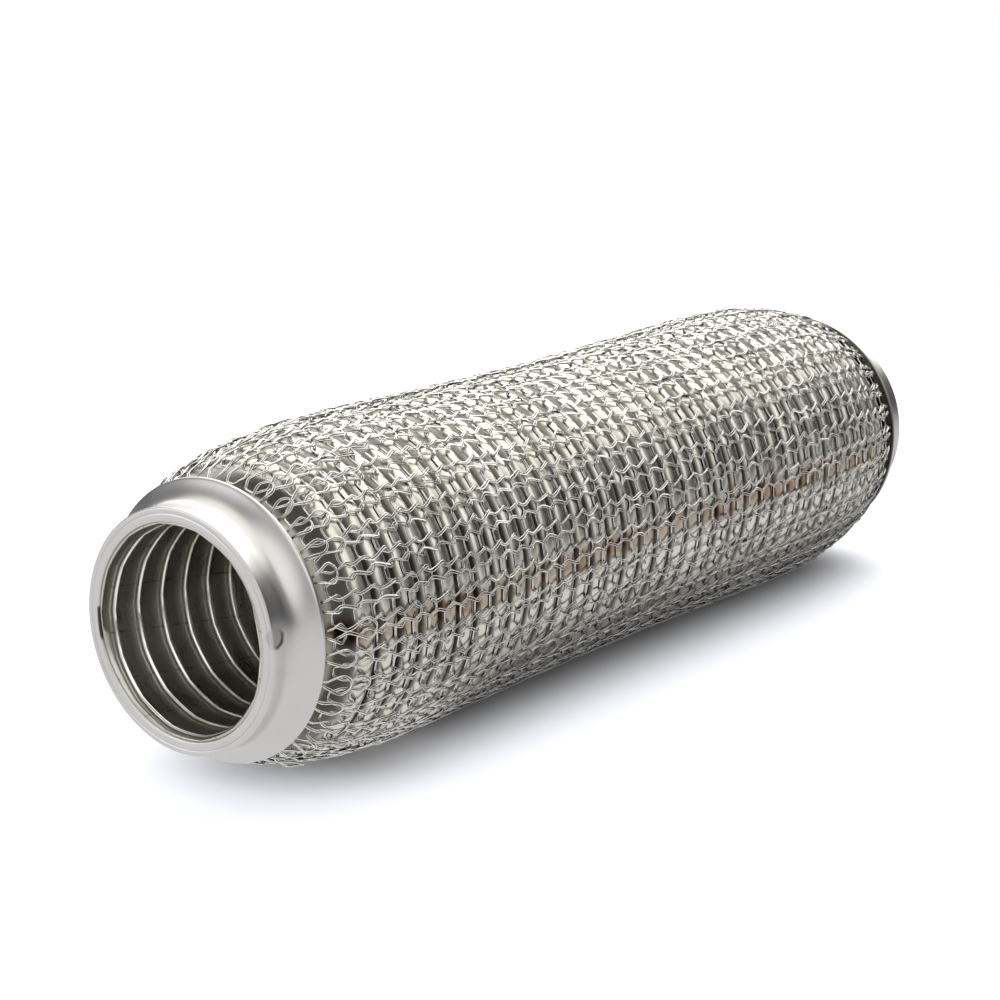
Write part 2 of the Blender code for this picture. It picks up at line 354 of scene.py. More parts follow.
def bellows_steel():
    """Bright foil, brown along its lengthwise weld; down between the convolutions it is rougher, less metallic and
    darkened with painted shade, with less of it on top, on the outermost wall and along the weld.
    """
    material, tree, shader, finish, places, lift = steel("rolled foil", 0.26, 0.14, 0.05, 5000.0, 0.10)
    body = add_node(tree, "ShaderNodeTexCoord").outputs["Object"]
    off = angle_from(tree, places, 178.5)
    wander = calc(tree, "MULTIPLY", calc(tree, "SUBTRACT", noise(tree, body, 170.0, 2.0), 0.5), 0.12)
    seam = calc(tree, "SUBTRACT", 1.0, ramp_between(tree, calc(tree, "ADD", off, wander), 0.03, 0.14))
    patchy = ramp_between(tree, noise(tree, body, 150.0, 2.0), 0.38, 0.60)
    depth = calc(tree, "SUBTRACT", crest_height(tree, places), places.outputs["Radius"])
    low = ramp_between(tree, depth, 0.0001, 0.0016)
    amount = calc(tree, "MULTIPLY", seam, calc(tree, "ADD", 0.62, calc(tree, "MULTIPLY", 0.38, patchy)))
    amount = calc(tree, "MULTIPLY", amount, calc(tree, "ADD", 0.72, calc(tree, "MULTIPLY", 0.28, low)))
    plain = shaded_colour(tree, finish, settings().bellows_colour)
    tint = mix_colour(tree, low, (0.27, 0.14, 0.05), settings().tint_colour)
    tinted = mix_colour(tree, amount, plain, tint)
    # Less painted shade on the outermost wall, and on top, where the light falls into the valleys from above
    outer_wall = ramp_between(tree, calc(tree, "ABSOLUTE", places.outputs["Along"]), 0.1178, 0.1186)
    on_top = ramp_between(tree, calc(tree, "SINE", places.outputs["Angle"]), 0.35, 0.95)
    # Painted shade down between the convolutions darkens the foil's colour; the same mask makes it rougher and less
    # metallic
    painted_valley_shade = calc(tree, "MULTIPLY", ramp_between(tree, depth, 0.0006, 0.0020),
                calc(tree, "SUBTRACT", 1.0, calc(tree, "MULTIPLY", outer_wall, 0.7)))
    painted_valley_shade = calc(tree, "MULTIPLY", painted_valley_shade, calc(tree, "SUBTRACT", 1.0, calc(tree, "MULTIPLY", on_top, 0.75)))
    painted_valley_shade = calc(tree, "MULTIPLY", painted_valley_shade, calc(tree, "SUBTRACT", 1.0, calc(tree, "MULTIPLY", seam, 0.65)))
    tree.links.new(mix_colour(tree, calc(tree, "MULTIPLY", painted_valley_shade, 0.94), tinted, (0.022, 0.02, 0.017)),
                   shader.inputs["Base Color"])
    tree.links.new(calc(tree, "SUBTRACT", 1.0, calc(tree, "MULTIPLY", painted_valley_shade, 0.85)), shader.inputs["Metallic"])
    tree.links.new(calc(tree, "ADD", finish.outputs["Roughness"], calc(tree, "MULTIPLY", painted_valley_shade, 0.45)),
                   shader.inputs["Roughness"])
    return material


def collar_steel():
    """Satin pressed sheet, with a spot weld on the near spigot that has painted shade as a dark crescent at its lower
    right, a weld stain in the near mouth, and painted shade on the back of each flare.
    """
    material, tree, shader, finish, places, lift = steel("pressed sheet", 0.31, 0.12, 0.05, 7000.0, 0.04)
    body = add_node(tree, "ShaderNodeTexCoord").outputs["Object"]
    centre = on_pipe(-HALF_LENGTH + 0.0013, 0.0286, math.radians(172.0))
    off = vector_calc(tree, "LENGTH", vector_calc(tree, "SUBTRACT", body, centre))
    ragged = calc(tree, "MULTIPLY", calc(tree, "SUBTRACT", noise(tree, body, 900.0, 2.0), 0.5), 0.0006)
    off = calc(tree, "ADD", off, ragged)
    spot = calc(tree, "SUBTRACT", 1.0, ramp_between(tree, off, 0.0019, 0.0025))
    # Painted shade: a dark ring round the spot weld, kept below only on its lower right side
    edge = calc(tree, "MULTIPLY", ramp_between(tree, off, 0.0015, 0.0021),
                calc(tree, "SUBTRACT", 1.0, ramp_between(tree, off, 0.0023, 0.0030)))
    below = vector_calc(tree, "SUBTRACT", body, centre)
    lower_right = add_node(tree, "ShaderNodeVectorMath", operation="DOT_PRODUCT")
    tree.links.new(below, lower_right.inputs[0])
    lower_right.inputs[1].default_value = (0.75, 0.0, -0.66)
    edge = calc(tree, "MULTIPLY", edge, ramp_between(tree, lower_right.outputs["Value"], 0.0000, 0.0018))
    inside = calc(tree, "SUBTRACT", 1.0, ramp_between(tree, places.outputs["Radius"], 0.0257, 0.0260))
    near = calc(tree, "SUBTRACT", 1.0, ramp_between(tree, places.outputs["Along"], 0.0015 - HALF_LENGTH,
                                                    0.0022 - HALF_LENGTH))
    round_mouth = calc(tree, "ADD", angle_from(tree, places, -5.0), calc(tree, "MULTIPLY", ragged, 150.0))
    stain = calc(tree, "SUBTRACT", 1.0, ramp_between(tree, round_mouth, 0.12, 0.18))
    stain = calc(tree, "MULTIPLY", stain, calc(tree, "MULTIPLY", inside, near))
    # Painted shade on the back of the flare, behind the rim's edge
    from_lip = calc(tree, "SUBTRACT", HALF_LENGTH, calc(tree, "ABSOLUTE", places.outputs["Along"]))
    back = calc(tree, "MULTIPLY", ramp_between(tree, from_lip, 0.01192, 0.01215),
                ramp_between(tree, places.outputs["Radius"], 0.0300, 0.0305))
    plain = shaded_colour(tree, finish, settings().collar_colour)
    # The colour darkened with painted shade on the back of the flare
    plain = mix_colour(tree, calc(tree, "MULTIPLY", back, 0.85), plain, (0.07, 0.068, 0.06))
    colour = mix_colour(tree, spot, plain, (0.60, 0.60, 0.59))
    # Painted shade: the dark crescent at the spot weld's lower right
    colour = mix_colour(tree, calc(tree, "MULTIPLY", edge, 0.85), colour, (0.05, 0.045, 0.04))
    colour = mix_colour(tree, calc(tree, "MULTIPLY", stain, 0.92), colour, (0.035, 0.015, 0.008))
    tree.links.new(colour, shader.inputs["Base Color"])
    rough = calc(tree, "ADD", finish.outputs["Roughness"], calc(tree, "MULTIPLY", spot, 0.30))
    tree.links.new(rough, shader.inputs["Roughness"])
    height = calc(tree, "ADD", finish.outputs["Height"], calc(tree, "MULTIPLY", spot, -1.2))
    tree.links.new(height, lift.inputs["Height"])
    return material


FIRST_MARK = math.radians(14.6)     # angle of a corner mark of the liner at the lip
MARK_DRIFT = math.radians(330.0)    # how much the corners turn in a metre of length


def liner_steel():
    """Dull wound strip with a painted highlight on its standing edges, which are also smoother, and a faint dark mark
    at each corner of its flats.
    """
    material, tree, shader, finish, places, lift = steel("wound strip", 0.30, 0.20, 0.12, 4000.0, 0.15)
    size = settings()
    # Painted highlight: the strip's standing edges, nearest the axis, get a near white colour
    edge = calc(tree, "SUBTRACT", 1.0, ramp_between(
        tree, places.outputs["Radius"], size.liner_radius - size.ridge_height,
        size.liner_radius - 0.6 * size.ridge_height))
    drifted = calc(tree, "ADD", places.outputs["Angle"], calc(
        tree, "MULTIPLY", calc(tree, "ADD", places.outputs["Along"], HALF_LENGTH), MARK_DRIFT))
    sides = calc(tree, "MULTIPLY", calc(tree, "SUBTRACT", drifted, FIRST_MARK), size.liner_sides / (2 * math.pi))
    from_corner = calc(tree, "ABSOLUTE", calc(tree, "SUBTRACT", sides, calc(tree, "ROUND", sides)))
    body = add_node(tree, "ShaderNodeTexCoord").outputs["Object"]
    faint = ramp_between(tree, noise(tree, body, 420.0, 2.0), 0.42, 0.62)
    mark = calc(tree, "MULTIPLY", faint, calc(tree, "SUBTRACT", 1.0, ramp_between(tree, from_corner, 0.010, 0.030)))
    strip = mix_colour(tree, calc(tree, "MULTIPLY", mark, 0.42), size.liner_colour, (0.06, 0.055, 0.05))
    # The near white painted highlight on the standing edges
    colour = mix_colour(tree, edge, strip, (0.95, 0.93, 0.88))
    tree.links.new(shaded_colour(tree, finish, colour), shader.inputs["Base Color"])
    tree.links.new(calc(tree, "SUBTRACT", finish.outputs["Roughness"], calc(tree, "MULTIPLY", edge, 0.19)),
                   shader.inputs["Roughness"])
    return material


# Meshes

def finish_piece(piece, material, slot, *nodes):
    """Gives a finished piece its material and body, and hides the CAD parts that it stands for."""
    piece.data.materials.clear()
    piece.data.materials.append(material)
    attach(piece, BODY)
    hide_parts(*nodes)


def piece_from(sheet, name):
    """A smooth mesh object from a bmesh."""
    mesh = bpy.data.meshes.new(name)
    bmesh.ops.recalc_face_normals(sheet, faces=sheet.faces)
    sheet.to_mesh(mesh)
    sheet.free()
    mesh.shade_smooth()
    piece = bpy.data.objects.new(name, mesh)
    bpy.context.scene.collection.objects.link(piece)
    return piece


def on_pipe(along, radius, angle):
    """A point given by its place along the pipe, distance from the axis and angle from +Y towards +Z."""
    return Vector((along, radius * math.cos(angle), AXIS_HEIGHT + radius * math.sin(angle)))


def lathe(points, segments, closed):
    """A bmesh of (along, radius) points turned round the pipe's axis."""
    sheet = bmesh.new()
    rings = []
    for along, radius in points:
        ring = []
        for step in range(segments):
            ring.append(sheet.verts.new(on_pipe(along, radius, 2 * math.pi * step / segments)))
        rings.append(ring)
    pairs = list(zip(rings, rings[1:]))
    if closed:
        pairs.append((rings[-1], rings[0]))
    for first, second in pairs:
        for step in range(segments):
            after = (step + 1) % segments
            sheet.faces.new((first[step], first[after], second[after], second[step]))
    return sheet


def smooth_line(points, steps):
    """A Catmull-Rom line through the points, with this many steps between two of them."""
    line = []
    padded = [points[0]] + list(points) + [points[-1]]
    for before, start, end, after in zip(padded, padded[1:], padded[2:], padded[3:]):
        for step in range(steps):
            t = step / steps
            place = []
            for a, b, c, d in zip(before, start, end, after):
                place.append(b + 0.5 * t * (c - a + t * (2 * a - 5 * b + 4 * c - d + t * (3 * (b - c) + d - a))))
            line.append(tuple(place))
    line.append(tuple(points[-1]))
    return line


# Collars: (distance from the lip, radius) down the outside, from the lip to the rim
COLLAR_OUTSIDE = (
    (0.00002, 0.02840), (0.00012, 0.02872), (0.00045, 0.02886), (0.00120, 0.02880), (0.00300, 0.02860),
    (0.00440, 0.02850), (0.00540, 0.02855), (0.00630, 0.02872), (0.00710, 0.02903), (0.00780, 0.02946),
    (0.00845, 0.02998), (0.00905, 0.03058), (0.00960, 0.03124), (0.01010, 0.03192), (0.01055, 0.03260),
    (0.01090, 0.03314), (0.01115, 0.03342), (0.01142, 0.03354), (0.01172, 0.03354),
)
# The rim's edge and the back of the flare, back to the lip
COLLAR_INSIDE = (
    (0.01205, 0.03338), (0.01222, 0.03316), (0.01222, 0.03292), (0.01216, 0.03240), (0.01206, 0.03150),
    (0.01180, 0.03090), (0.01035, 0.02960), (0.00900, 0.02822), (0.00760, 0.02740), (0.00600, 0.02722),
    (0.00240, 0.02722), (0.00120, 0.02690),
)
# The end face: a lap of the tubes welded into the collar, then the collar's own edge
COLLAR_FACE = (
    (0.00180, 0.02560), (0.00070, 0.02539), (0.00022, 0.02548), (0.00004, 0.02572), (0.00000, 0.02640),
    (0.00003, 0.02736), (0.00014, 0.02748), (0.00003, 0.02760), (0.00000, 0.02800),
)


def collar_section(end):
    """Closed section of a collar as (along, radius); end is 1 or -1."""
    line = smooth_line(COLLAR_OUTSIDE, 3)
    line += smooth_line(COLLAR_INSIDE, 2)
    line += smooth_line(COLLAR_FACE, 2)
    return [(end * (HALF_LENGTH - 0.00004 - place), radius) for place, radius in line]


class FLEXPIPE_OT_collars(bpy.types.Operator):
    """Make the two flared collars"""

    bl_idname = "flexpipe.collars"
    bl_label = "Collars"

    def execute(self, context):
        material = collar_steel()
        for name, end, node in (("near_collar_skin", -1, "front_collar"), ("far_collar_skin", 1, "rear_collar")):
            piece = piece_from(lathe(collar_section(end), 128, True), name)
            finish_piece(piece, material, "collar", node)
        return {"FINISHED"}


# Liner: share of a turn's pitch, and share of the ridge's height
LINER_TURN = (
    (0.00, 0.02), (0.28, 0.00), (0.54, 0.02), (0.58, 0.20), (0.615, 0.36), (0.66, 0.38), (0.70, 0.44),
    (0.725, 0.74), (0.75, 0.96), (0.78, 1.00), (0.805, 0.86), (0.825, 0.40), (0.85, 0.04),
)
LINER_CORNER_STEPS = 4
LINER_FLATNESS = 0.35           # 1 would make each turn a true polygon, 0 a circle


def flat_sided(radius, sides, angle):
    """Distance from the axis to a ring with faint flats."""
    half = math.pi / sides
    off = angle % (2 * half) - half
    return radius * (1 - LINER_FLATNESS * (1 - math.cos(half) / math.cos(off)))


def liner_sheet(size):
    """The inside of the wound strip: one turn's outline swept along a helix, then cut square."""
    half = LINER_HALF_LENGTH
    pitch = 2 * half / size.liner_turns
    steps = size.liner_sides * LINER_CORNER_STEPS
    sheet = bmesh.new()
    columns = []
    for step in range(steps + 1):
        angle = 2 * math.pi * step / steps
        column = []
        for turn in range(size.liner_turns + 2):
            for share, rise in LINER_TURN:
                along = -half + (turn - 1.25 + share + step / steps) * pitch
                radius = flat_sided(size.liner_radius, size.liner_sides, angle) - rise * size.ridge_height
                column.append(sheet.verts.new(on_pipe(along, radius, angle)))
        columns.append(column)
    for first, second in zip(columns, columns[1:]):
        for low in range(len(first) - 1):
            sheet.faces.new((first[low], first[low + 1], second[low + 1], second[low]))
    bmesh.ops.remove_doubles(sheet, verts=sheet.verts, dist=0.00001)
    for end in (1, -1):
        geometry = sheet.verts[:] + sheet.edges[:] + sheet.faces[:]
        bmesh.ops.bisect_plane(sheet, geom=geometry, dist=0.000001, plane_co=(end * half, 0, 0),
                               plane_no=(end, 0, 0), clear_outer=True)
    return sheet


class FLEXPIPE_OT_liner(bpy.types.Operator):
    """Make the strip-wound liner"""

    bl_idname = "flexpipe.liner"
    bl_label = "Liner"

    def execute(self, context):
        size = settings()
        sheet = liner_sheet(size)
        ends = [edge for edge in sheet.edges if edge.is_boundary]
        grown = bmesh.ops.extrude_edge_only(sheet, edges=ends)["geom"]
        for vertex in grown:
            if isinstance(vertex, bmesh.types.BMVert):
                angle = math.atan2(vertex.co.z - AXIS_HEIGHT, vertex.co.y)
                vertex.co = on_pipe(vertex.co.x, size.liner_radius + 0.0003, angle)
        outer = [edge for edge in grown if isinstance(edge, bmesh.types.BMEdge) and edge.is_boundary]
        bmesh.ops.bridge_loops(sheet, edges=outer)
        piece = piece_from(sheet, "wound_liner")
        finish_piece(piece, liner_steel(), "liner", "interlock_liner")
        return {"FINISHED"}


# One convolution: share of the pitch from its valley, and share of the height from root to crest
CONVOLUTION = (
    (0.000, 0.00), (0.040, 0.12), (0.068, 0.40), (0.084, 0.66), (0.112, 0.81), (0.165, 0.905), (0.250, 0.962),
    (0.370, 0.994), (0.500, 1.00), (0.630, 0.994), (0.750, 0.962), (0.835, 0.905), (0.888, 0.81),
    (0.916, 0.66), (0.932, 0.40), (0.960, 0.12),
)
def bellows_place(size, count):
    """Place along the pipe at which this many convolutions have been passed."""
    share = count / size.convolutions
    share -= size.closer_ends * math.sin(2 * math.pi * share) / (2 * math.pi)
    return (HALF_LENGTH - size.bellows_start) * (2 * share - 1)


def bellows_line(size):
    """Outside of the bellows as (along, radius), from the -X end."""
    rolls = random.Random(7)
    start = HALF_LENGTH - size.bellows_start
    line = [(-HALF_LENGTH + 0.0020, size.neck_radius), (-start - 0.0012, size.neck_radius)]
    for number in range(size.convolutions):
        shift = rolls.uniform(-0.00016, 0.00016)
        grow = rolls.uniform(-0.00016, 0.00010)
        for share, rise in CONVOLUTION:
            along = bellows_place(size, number + share)
            crest = sleeve_radius(along) - CREST_UNDER_SLEEVE + grow
            line.append((along + shift * math.sin(math.pi * share), size.root_radius
                         + rise * (crest - size.root_radius)))
    line += [(start, size.root_radius), (start + 0.0012, size.neck_radius)]
    line.append((HALF_LENGTH - 0.0020, size.neck_radius))
    return line


class FLEXPIPE_OT_bellows(bpy.types.Operator):
    """Make the corrugated bellows"""

    bl_idname = "flexpipe.bellows"
    bl_label = "Bellows"

    def execute(self, context):
        piece = piece_from(lathe(bellows_line(settings()), 60, False), "corrugated_bellows")
        wall = piece.modifiers.new("wall", "SOLIDIFY")
        wall.thickness = 0.0003
        wall.offset = -1.0
        finish_piece(piece, bellows_steel(), "bellows", "bellows")
        return {"FINISHED"}


# Knitted sleeve

# Half of one stitch, in equal steps from the span between two wales to the middle of the loop's head:
# shares of a wale's width across and of a course along, and share of the full lift
STITCH = (
    (-0.500, -0.330, 0.00),
    (-0.400, -0.332, 0.00),
    (-0.312, -0.318, 0.06),
    (-0.256, -0.255, 0.26),
    (-0.206, -0.160, 0.52),
    (-0.146, -0.060, 0.72),
    (-0.104, 0.055, 0.84),
    (-0.126, 0.200, 0.93),
    (-0.192, 0.410, 1.00),
    (-0.262, 0.620, 1.00),
    (-0.298, 0.745, 0.90),
    (-0.292, 0.850, 0.62),
    (-0.236, 0.960, 0.26),
    (-0.160, 1.060, 0.02),
    (-0.078, 1.125, -0.08),
    (0.000, 1.145, -0.10),
)
STITCH_ROOM = 0.4               # shifts and scales the shares so that the curve node holds them in 0 to 1
STITCH_SPAN = 1.6
SAMPLES = 40                    # points along the wire of one stitch
BANDS = 4                       # the sleeve is made in bands of courses, each its own mesh
LIFT = 0.00080                  # from the spans between the wales up to the top of the loops
SPAN_UNDER_SLEEVE = 0.00097     # middle of the spans' wire under the outside of the sleeve
DENSER_ENDS = 0.10              # how much closer the courses are at the ends than on average
TWIST = math.radians(-2.0)      # of the wales over the sleeve's length
LEAST_CURL = 0.2                # how far the heads of the last loops curl out, as a share of the full lift
MOST_CURL = 2.6


def curve_node(tree, value, points):
    """A Float Curve node through these points."""
    made = add_node(tree, "ShaderNodeFloatCurve")
    line = made.mapping.curves[0]
    for place, height in points[1:-1]:
        line.points.new(place, height)
    line.points[0].location = points[0]
    line.points[-1].location = points[-1]
    for point in line.points:
        point.handle_type = "AUTO"
    made.mapping.update()
    feed(tree, made.inputs["Value"], value)
    return made.outputs[0]


def stitch_curve(tree, share, column, mirror):
    """One column of the stitch over its whole length; mirror says whether it changes sign half way."""
    half = len(STITCH) - 1
    values = [row[column] for row in STITCH]
    values += [-value if mirror else value for value in reversed(values[:-1])]
    points = []
    for step, value in enumerate(values):
        points.append((step / (2 * half), (value + STITCH_ROOM) / STITCH_SPAN))
    if mirror:
        points = [(place, (value + 0.5)) for place, value in zip([point[0] for point in points], values)]
        return calc(tree, "SUBTRACT", curve_node(tree, share, points), 0.5)
    scaled = calc(tree, "MULTIPLY", curve_node(tree, share, points), STITCH_SPAN)
    return calc(tree, "SUBTRACT", scaled, STITCH_ROOM)


def random_value(tree, low, high, number, seed):
    made = add_node(tree, "FunctionNodeRandomValue", data_type="FLOAT")
    made.inputs[2].default_value = low
    made.inputs[3].default_value = high
    tree.links.new(number, made.inputs["ID"])
    feed(tree, made.inputs["Seed"], seed)
    return made.outputs[1]


def knit_tree():
    """Geometry Nodes that knit the sleeve from one continuous pair of wires."""
    tree = bpy.data.node_groups.new("knitted sleeve", "GeometryNodeTree")
    titles = (
        ("First Stitch", "NodeSocketInt", 0), ("Stitches", "NodeSocketInt", 10),
        ("Wales", "NodeSocketInt", 34), ("Courses", "NodeSocketInt", 44),
        ("Half Length", "NodeSocketFloat", 0.126), ("Waist Radius", "NodeSocketFloat", 0.039),
        ("Swell", "NodeSocketFloat", 0.003), ("End Drop", "NodeSocketFloat", 0.01),
        ("Wire Radius", "NodeSocketFloat", 0.00015), ("Strand Spacing", "NodeSocketFloat", 0.0004),
        ("Unevenness", "NodeSocketFloat", 1.0), ("Seed", "NodeSocketInt", 3),
    )
    for title, kind, value in titles:
        socket = tree.interface.new_socket(title, in_out="INPUT", socket_type=kind)
        socket.default_value = value
    tree.interface.new_socket("Material", in_out="INPUT", socket_type="NodeSocketMaterial")
    tree.interface.new_socket("Geometry", in_out="OUTPUT", socket_type="NodeSocketGeometry")
    given = add_node(tree, "NodeGroupInput").outputs
    uneven = given["Unevenness"]

    # Which stitch a point is in, and how far along it
    points = calc(tree, "ADD", calc(tree, "MULTIPLY", given["Stitches"], float(SAMPLES)), 1.0)
    line = add_node(tree, "GeometryNodeMeshLine", mode="OFFSET", count_mode="TOTAL")
    tree.links.new(points, line.inputs["Count"])
    index = add_node(tree, "GeometryNodeInputIndex").outputs[0]
    place = calc(tree, "ADD", calc(tree, "DIVIDE", index, float(SAMPLES)), given["First Stitch"])
    number = calc(tree, "FLOOR", place)
    share = calc(tree, "SUBTRACT", place, number)

    # Unevenness of the stitch, none at its ends so that it meets the next one
    within = calc(tree, "POWER", calc(tree, "SINE", calc(tree, "MULTIPLY", share, math.pi)), 2.0)
    course = calc(tree, "DIVIDE", place, given["Wales"])
    middle = calc(tree, "DIVIDE", calc(tree, "ADD", course, 0.325), calc(tree, "ADD", given["Courses"], 0.44))
    wave = calc(tree, "SINE", calc(tree, "MULTIPLY", middle, 2 * math.pi))
    end_share = calc(tree, "POWER", calc(tree, "ABSOLUTE", calc(tree, "SUBTRACT", calc(
        tree, "MULTIPLY", middle, 2.0), 1.0)), 10.0)
    loose = calc(tree, "MULTIPLY", uneven, calc(tree, "ADD", 1.0, calc(tree, "MULTIPLY", end_share, 1.8)))
    sway = calc(tree, "MULTIPLY", calc(tree, "MULTIPLY", random_value(tree, -0.04, 0.04, number, 11), within), loose)
    shove = calc(tree, "MULTIPLY", calc(tree, "MULTIPLY", random_value(tree, -0.07, 0.06, number, 12), within), loose)
    widen = calc(tree, "ADD", 1.0, calc(tree, "MULTIPLY", random_value(tree, -0.16, 0.14, number, 13), loose))
    raise_by = calc(tree, "ADD", 1.0, calc(tree, "MULTIPLY", random_value(tree, -0.15, 0.25, number, 14), loose))

    # Shares across, along and up
    across = stitch_curve(tree, share, 0, True)
    inner = calc(tree, "SUBTRACT", across, calc(tree, "MULTIPLY", calc(tree, "SUBTRACT", share, 0.5), 1.0))
    across = calc(tree, "ADD", calc(tree, "SUBTRACT", share, 0.5), calc(tree, "MULTIPLY", inner, widen))
    across = calc(tree, "ADD", across, sway)
    ahead = calc(tree, "ADD", stitch_curve(tree, share, 1, False), shove)
    head = ramp_between(tree, calc(tree, "ABSOLUTE", calc(tree, "SUBTRACT", share, 0.5)), 0.24, 0.05)
    near_end = ramp_between(tree, middle, 0.7, 0.3)
    curl = calc(tree, "MULTIPLY", calc(tree, "MULTIPLY", head, end_share), random_value(
        tree, LEAST_CURL, MOST_CURL, number, 15))
    curl = calc(tree, "MULTIPLY", curl, near_end)
    up = calc(tree, "MULTIPLY", calc(tree, "ADD", stitch_curve(tree, share, 2, False), curl), raise_by)

    # Place along the pipe
    here = calc(tree, "DIVIDE", calc(tree, "ADD", calc(tree, "ADD", course, ahead), 0.325),
                calc(tree, "ADD", given["Courses"], 0.44))
    eased = calc(tree, "SUBTRACT", here, calc(tree, "MULTIPLY", wave, DENSER_ENDS / (2 * math.pi)))
    along = calc(tree, "MULTIPLY", calc(tree, "SUBTRACT", calc(tree, "MULTIPLY", eased, 2.0), 1.0),
                 given["Half Length"])
    reach = calc(tree, "ADD", given["Half Length"], 0.0013)
    along = calc(tree, "MAXIMUM", calc(tree, "MINIMUM", along, reach), calc(tree, "MULTIPLY", reach, -1.0))

    # Distance from the axis
    portion = calc(tree, "DIVIDE", calc(tree, "ABSOLUTE", along), given["Half Length"])
    radius = calc(tree, "ADD", given["Waist Radius"],
                  calc(tree, "MULTIPLY", given["Swell"], calc(tree, "POWER", portion, 2.0)))
    radius = calc(tree, "SUBTRACT", radius,
                  calc(tree, "MULTIPLY", given["End Drop"], calc(tree, "POWER", portion, 7.0)))
    radius = calc(tree, "SUBTRACT", radius, SPAN_UNDER_SLEEVE)
    behind = calc(tree, "SUBTRACT", calc(tree, "ABSOLUTE", along), calc(tree, "SUBTRACT", given["Half Length"], 0.0008))
    under = calc(tree, "SUBTRACT", 0.0308, calc(tree, "MULTIPLY", behind, 2.2))
    under = calc(tree, "ADD", under, calc(tree, "MULTIPLY", near_end, 0.0010))
    radius = calc(tree, "MINIMUM", radius, under)
    radius = calc(tree, "ADD", radius, calc(tree, "MULTIPLY", up, LIFT))

    # Round the pipe
    turn = calc(tree, "DIVIDE", calc(tree, "ADD", calc(tree, "ADD", number, 0.5), across), given["Wales"])
    angle = calc(tree, "MULTIPLY", turn, 2 * math.pi)
    lean = calc(tree, "DIVIDE", calc(tree, "MULTIPLY", along, TWIST / 2), given["Half Length"])
    angle = calc(tree, "ADD", angle, lean)
    spot = combine(tree, along, calc(tree, "MULTIPLY", radius, calc(tree, "COSINE", angle)),
                   calc(tree, "MULTIPLY", radius, calc(tree, "SINE", angle)))
    drift = add_node(tree, "ShaderNodeTexNoise")
    tree.links.new(spot, drift.inputs["Vector"])
    drift.inputs["Scale"].default_value = 70.0
    drift.inputs["Detail"].default_value = 1.0
    wander = vector_calc(tree, "SUBTRACT", drift.outputs[1], (0.5, 0.5, 0.5))
    wander = vector_calc(tree, "SCALE", wander, scale=calc(tree, "MULTIPLY", uneven, 0.0013))
    outward = vector_calc(tree, "NORMALIZE", vector_calc(tree, "MULTIPLY", spot, (0.0, 1.0, 1.0)))
    lean_out = add_node(tree, "ShaderNodeVectorMath", operation="DOT_PRODUCT")
    tree.links.new(wander, lean_out.inputs[0])
    tree.links.new(outward, lean_out.inputs[1])
    wander = vector_calc(tree, "SUBTRACT", wander, vector_calc(tree, "SCALE", outward, scale=lean_out.outputs["Value"]))
    spot = vector_calc(tree, "ADD", spot, wander)
    placed = add_node(tree, "GeometryNodeSetPosition")
    tree.links.new(line.outputs["Mesh"], placed.inputs["Geometry"])
    tree.links.new(spot, placed.inputs["Position"])
    wire = add_node(tree, "GeometryNodeMeshToCurve")
    tree.links.new(placed.outputs[0], wire.inputs["Mesh"])

    # Two strands side by side
    round_section = add_node(tree, "GeometryNodeCurvePrimitiveCircle", mode="RADIUS")
    round_section.inputs["Resolution"].default_value = 3
    tree.links.new(given["Wire Radius"], round_section.inputs["Radius"])
    both = add_node(tree, "GeometryNodeJoinGeometry")
    now = add_node(tree, "GeometryNodeInputPosition").outputs[0]
    tangent = add_node(tree, "GeometryNodeInputTangent").outputs[0]
    radial = vector_calc(tree, "NORMALIZE", vector_calc(tree, "MULTIPLY", now, (0.0, 1.0, 1.0)))
    sideways = vector_calc(tree, "NORMALIZE", vector_calc(tree, "CROSS_PRODUCT", tangent, radial))
    apart = add_node(tree, "ShaderNodeSeparateXYZ")
    tree.links.new(tangent, apart.inputs[0])
    lengthwise = calc(tree, "ADD", 0.62, calc(tree, "MULTIPLY", calc(tree, "ABSOLUTE", apart.outputs[0]), 0.50))
    for side, shift in ((1.0, 0.0), (-1.0, 5.0)):
        where = vector_calc(tree, "ADD", now, (shift, 0.0, 0.0))
        spread = calc(tree, "ADD", 0.05, calc(tree, "MULTIPLY", noise(tree, where, 170.0, 0.0), 0.90))
        spread = calc(tree, "MULTIPLY", spread, calc(tree, "MINIMUM", lengthwise, 1.0))
        tilt = calc(tree, "MULTIPLY", calc(tree, "SUBTRACT", noise(tree, now, 170.0, 0.0), 0.5), 1.2 * side)
        offset = vector_calc(tree, "ADD",
                             vector_calc(tree, "SCALE", sideways, scale=calc(tree, "MULTIPLY", spread, side)),
                             vector_calc(tree, "SCALE", radial, scale=tilt))
        offset = vector_calc(tree, "SCALE", offset, scale=given["Strand Spacing"])
        moved = add_node(tree, "GeometryNodeSetPosition")
        tree.links.new(wire.outputs["Curve"], moved.inputs["Geometry"])
        strand_spot = vector_calc(tree, "ADD", now, offset)
        lifted = vector_calc(tree, "ADD", strand_spot, (0.0, 0.0, AXIS_HEIGHT))
        floor = combine(tree, -1.0, -1.0, given["Wire Radius"])
        tree.links.new(vector_calc(tree, "MAXIMUM", lifted, floor), moved.inputs["Position"])
        strand = add_node(tree, "GeometryNodeCurveToMesh")
        strand.inputs["Fill Caps"].default_value = True
        tree.links.new(moved.outputs[0], strand.inputs["Curve"])
        tree.links.new(round_section.outputs["Curve"], strand.inputs["Profile Curve"])
        tree.links.new(strand.outputs[0], both.inputs[0])
    smooth = add_node(tree, "GeometryNodeSetShadeSmooth")
    tree.links.new(both.outputs[0], smooth.inputs[0])
    real = add_node(tree, "GeometryNodeRealizeInstances")
    tree.links.new(smooth.outputs[0], real.inputs[0])
    painted = add_node(tree, "GeometryNodeSetMaterial")
